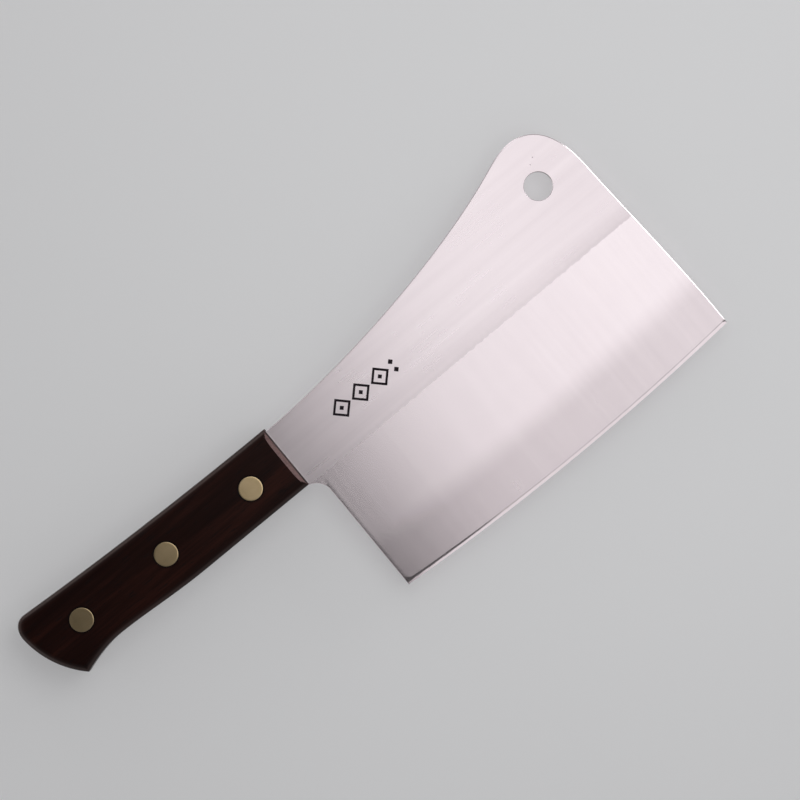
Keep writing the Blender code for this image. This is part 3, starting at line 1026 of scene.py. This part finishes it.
def wood_material(seed):
    """Rosewood. The seed moves its figure, so that no two scales are alike."""
    nodes = new_material(f"rosewood_{seed}")
    shift = (seed * 1.7, seed * 0.9, seed * 2.3)
    # Growth layers run along the handle and wander a little; pores are short dark dashes.
    layers = nodes.noise((12.0, 170.0, 190.0), detail=5.0, roughness=0.55, distortion=0.7, at=shift)
    broad = nodes.noise((7.0, 45.0, 62.0), detail=3.0, distortion=0.5, at=shift)
    fibres = nodes.noise((40.0, 1300.0, 1300.0), detail=3.0, roughness=0.6, at=shift)
    pores = nodes.noise((150.0, 1500.0, 1500.0), detail=2.0, at=(shift[2], shift[0], shift[1]))
    tone = nodes.scaled(layers, 0.50, -0.13)
    tone = nodes.scaled(broad, 0.62, tone)
    tone = nodes.scaled(fibres, 0.24, tone)
    tone = nodes.math("SUBTRACT", tone, 0.12)
    colour = nodes.ramp(tone, WOOD_TONES)
    pore = nodes.step(pores, 0.60, 0.70)
    colour = nodes.mix(nodes.math("MULTIPLY", pore, 0.65), colour, WOOD_PORE)

    # A thin ring round each rivet is darker. The filed front end is painted paler and redder, with the
    # grain running through it: a painted highlight of the side light.
    ring = nodes.inverted(nodes.step(rivet_distance(nodes), 0.0052, 0.0062))
    colour = nodes.mix(nodes.math("MULTIPLY", ring, 0.75), colour, RIVET_RING_TONE)
    forward = nodes.normal("X")
    foot = nodes.step(forward, 0.78, 0.88)
    filed = nodes.math("SUBTRACT", nodes.step(forward, 0.55, 0.68), foot)
    colour = nodes.mix(filed, colour, nodes.ramp(pores, CHAMFER_HIGHLIGHT_TONES))
    # Painted highlight along the rounded rims.
    colour = nodes.mix(painted_rim_highlight(nodes), colour, WOOD_RIM_HIGHLIGHT)

    roughness = nodes.scaled(fibres, 0.16, 0.27)
    roughness = nodes.scaled(pore, 0.18, roughness)
    surface = nodes.add(
        "BsdfPrincipled",
        {
            "Base Color": colour,
            "Roughness": roughness,
            "Normal": nodes.bump(nodes.scaled(pore, -1.2, fibres), 0.3, 0.00003),
            "IOR": 1.45,
            "Specular IOR Level": nodes.scaled(filed, 0.15, 0.13),
        },
    )
    return nodes.finish(surface)


# ---- Rivets.

def head_profile(radius, face):
    """A flush head: a face that swells very slightly, and an edge softened by the grinding."""
    rim = face - HEAD_SWELL
    profile = [(0.0, face)]
    profile += [(radius * share, face - HEAD_SWELL * share**2) for share in HEAD_RINGS]
    profile += [(radius - back, rim - down) for back, down in HEAD_EDGE]
    profile += [(radius, face - HEAD_HOLD), (radius, face - HEAD_THICKNESS)]
    return profile


def make_rivet(place, brass):
    centre = rivet_centre(place)
    low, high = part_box(f"rivet_post_{place}")
    sleeve_low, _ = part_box(f"rivet_sleeve_{place}")
    face, post_end, sleeve_end = -low.y / MM, -high.y / MM, sleeve_low.y / MM
    head = head_profile(head_radius(place), face)
    under = face - HEAD_THICKNESS
    shank = [
        (POST_RADIUS, under),
        (POST_RADIUS, post_end + POST_TIP),
        (POST_TIP_RADIUS, post_end),
        (0.0, post_end),
    ]
    tube = [
        (SLEEVE_RADIUS, under),
        (SLEEVE_RADIUS, sleeve_end),
        (SLEEVE_BORE, sleeve_end),
        (SLEEVE_BORE, SLEEVE_BORE_END),
        (0.0, SLEEVE_BORE_END),
    ]
    for part, rest, side in (("post", shank, NEAR), ("sleeve", tube, FAR)):
        node = f"rivet_{part}_{place}"
        piece = turned(f"{node}_brass", head + rest, centre, side)
        finish_piece(piece, node, "rivet_brass", brass)


def brass_material():
    """Dulled brass, rubbed in two directions."""
    nodes = new_material("dulled_brass")
    scratch = nodes.noise((900.0, 500.0, 90.0), detail=2.0)
    cross = nodes.noise((80.0, 500.0, 900.0), detail=2.0, at=(4.0, 1.0, 2.0))
    cloud = nodes.noise((230.0, 230.0, 230.0), detail=2.0)
    brushed = nodes.math("ADD", scratch, cross)
    tone = nodes.scaled(brushed, 0.16, 0.12)
    tone = nodes.scaled(cloud, 0.42, tone)
    surface = nodes.add(
        "BsdfPrincipled",
        {
            "Base Color": nodes.ramp(tone, BRASS_TONES),
            "Metallic": 1.0,
            "Roughness": nodes.scaled(cloud, 0.04, 0.27),
            "Normal": nodes.bump(brushed, 0.1, 0.00001),
        },
    )
    return nodes.finish(surface)


# ---- Stage, light and camera.

def ray_part(nodes, axis):
    """One part of the direction back along the ray that sees the surface."""
    return nodes.part(nodes.add("NewGeometry", out="Incoming"), axis)


def square_on(nodes):
    """1 for a ray that runs nearly along Y, either way, and 0 for any other."""
    return nodes.step(nodes.math("ABSOLUTE", ray_part(nodes, "Y")), *SQUARE_ON)


def stage_surface(nodes):
    """A plain matte surface, lifted a little, that fades into the pale tone far from the object."""
    albedo = (STAGE_ALBEDO, STAGE_ALBEDO, STAGE_ALBEDO * 1.01, 1.0)
    matte = nodes.add("BsdfDiffuse", {"Color": albedo})
    raised = nodes.add("Emission", {"Color": PALE, "Strength": STAGE_LIFT})
    near = nodes.add("AddShader", {0: matte, 1: raised})
    far = nodes.add("Emission", {"Color": PALE})
    away = nodes.add("VectorMath", {0: nodes.where()}, out="Value", operation="LENGTH")
    return nodes.add("MixShader", {0: nodes.step(away, *STAGE_FADE), 1: near, 2: far})


def stage_plane(name, location, tilt, material):
    """A plane that only the camera sees: it casts no shadow and shows in no reflection."""
    rotation = (radians(tilt), 0.0, 0.0)
    bpy.ops.mesh.primitive_plane_add(size=STAGE_SIZE, location=location, rotation=rotation)
    plane = bpy.context.active_object
    plane.name = name
    plane.data.materials.append(material)
    plane.visible_shadow = False
    plane.visible_diffuse = False
    plane.visible_glossy = False


def make_stage():
    """The sheet the cleaver lies on is seen square on; from elsewhere it stands on a floor."""
    nodes = new_material("pale_sheet")
    from_near = nodes.math("LESS_THAN", ray_part(nodes, "Y"), 0.0)
    seen = nodes.math("MULTIPLY", square_on(nodes), from_near)
    clear = nodes.add("BsdfTransparent")
    sheet = nodes.finish(nodes.add("MixShader", {0: seen, 1: clear, 2: stage_surface(nodes)}))
    far_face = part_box("far_scale")[1].y
    stage_plane("sheet", (AIM.x, far_face + STAGE_GAP, AIM.z), 90.0, sheet)

    nodes = new_material("pale_floor")
    from_below = nodes.math("LESS_THAN", ray_part(nodes, "Z"), 0.0)
    unseen = nodes.math("MAXIMUM", square_on(nodes), from_below)
    clear = nodes.add("BsdfTransparent")
    floor = nodes.finish(nodes.add("MixShader", {0: unseen, 1: stage_surface(nodes), 2: clear}))
    stage_plane("floor", (0.0, 0.0, -STAGE_GAP), 0.0, floor)


def make_world():
    """Dim in front, where the steel faces, and even elsewhere; the camera sees the pale tone."""
    world = bpy.data.worlds.new("studio")
    bpy.context.scene.world = world
    nodes = Nodes(world)
    y = nodes.part(nodes.add("TexCoord", out="Generated"), "Y")
    front = nodes.step(nodes.math("MULTIPLY", y, -1.0), *WORLD_FRONT_BORDER)
    strength = nodes.add("Mix", {0: front, 2: WORLD_AROUND, 3: WORLD_FRONT})
    lit = nodes.add("Background", {"Color": WHITE, "Strength": strength})
    seen = nodes.add("Background", {"Color": PALE, "Strength": 1.0})
    is_camera = nodes.add("LightPath", out="Is Camera Ray")
    nodes.finish(nodes.add("MixShader", {0: is_camera, 1: lit, 2: seen}), "OutputWorld")


def area_light(name, location, size, radiance, turn, reaches):
    """A soft panel; the table of lights says what each value is."""
    data = bpy.data.lights.new(name, "AREA")
    data.shape = "RECTANGLE"
    data.size, data.size_y = size
    data.energy = radiance * pi * size[0] * size[1]
    light = bpy.data.objects.new(name, data)
    bpy.context.scene.collection.objects.link(light)
    light.location = location
    if turn is None:
        light.rotation_euler = (AIM - Vector(location)).to_track_quat("-Z", "Y").to_euler()
    else:
        light.rotation_euler = (radians(turn[0]), 0.0, radians(turn[1]))
    if reaches:
        receivers = bpy.data.collections.new(f"{name}_receivers")
        for item in bpy.context.scene.objects:
            if any(word in item.name for word in reaches):
                receivers.objects.link(item)
        light.light_linking.receiver_collection = receivers


def make_camera():
    """Looks along Y at the near side, rolled so that the blade hangs down to the right."""
    data = bpy.data.cameras.new("camera")
    data.lens = LENS
    camera = bpy.data.objects.new("camera", data)
    bpy.context.scene.collection.objects.link(camera)
    distance = FRAME_WIDTH * LENS / data.sensor_width
    right = Vector((cos(ROLL), 0.0, -sin(ROLL)))
    up = Vector((sin(ROLL), 0.0, cos(ROLL)))
    back = Vector((0.0, -1.0, 0.0))
    turn = Matrix((right, up, back)).transposed().to_4x4()
    camera.matrix_world = Matrix.Translation(AIM + back * distance) @ turn
    bpy.context.scene.camera = camera
    bpy.context.scene.view_settings.view_transform = "Standard"


def main():
    blade_shape = BladeShape()
    make_blade(blade_shape, steel_material(blade_shape), mark_material())
    for side, word, seed in ((NEAR, "near", 1), (FAR, "far", 3)):
        make_scale(side, word, wood_material(seed))
    brass = brass_material()
    for place in RIVETS:
        make_rivet(place, brass)
    make_stage()
    make_world()
    for light in (*SOFT_LIGHTS, *SMALL_LIGHTS):
        area_light(*light)
    make_camera()


main()
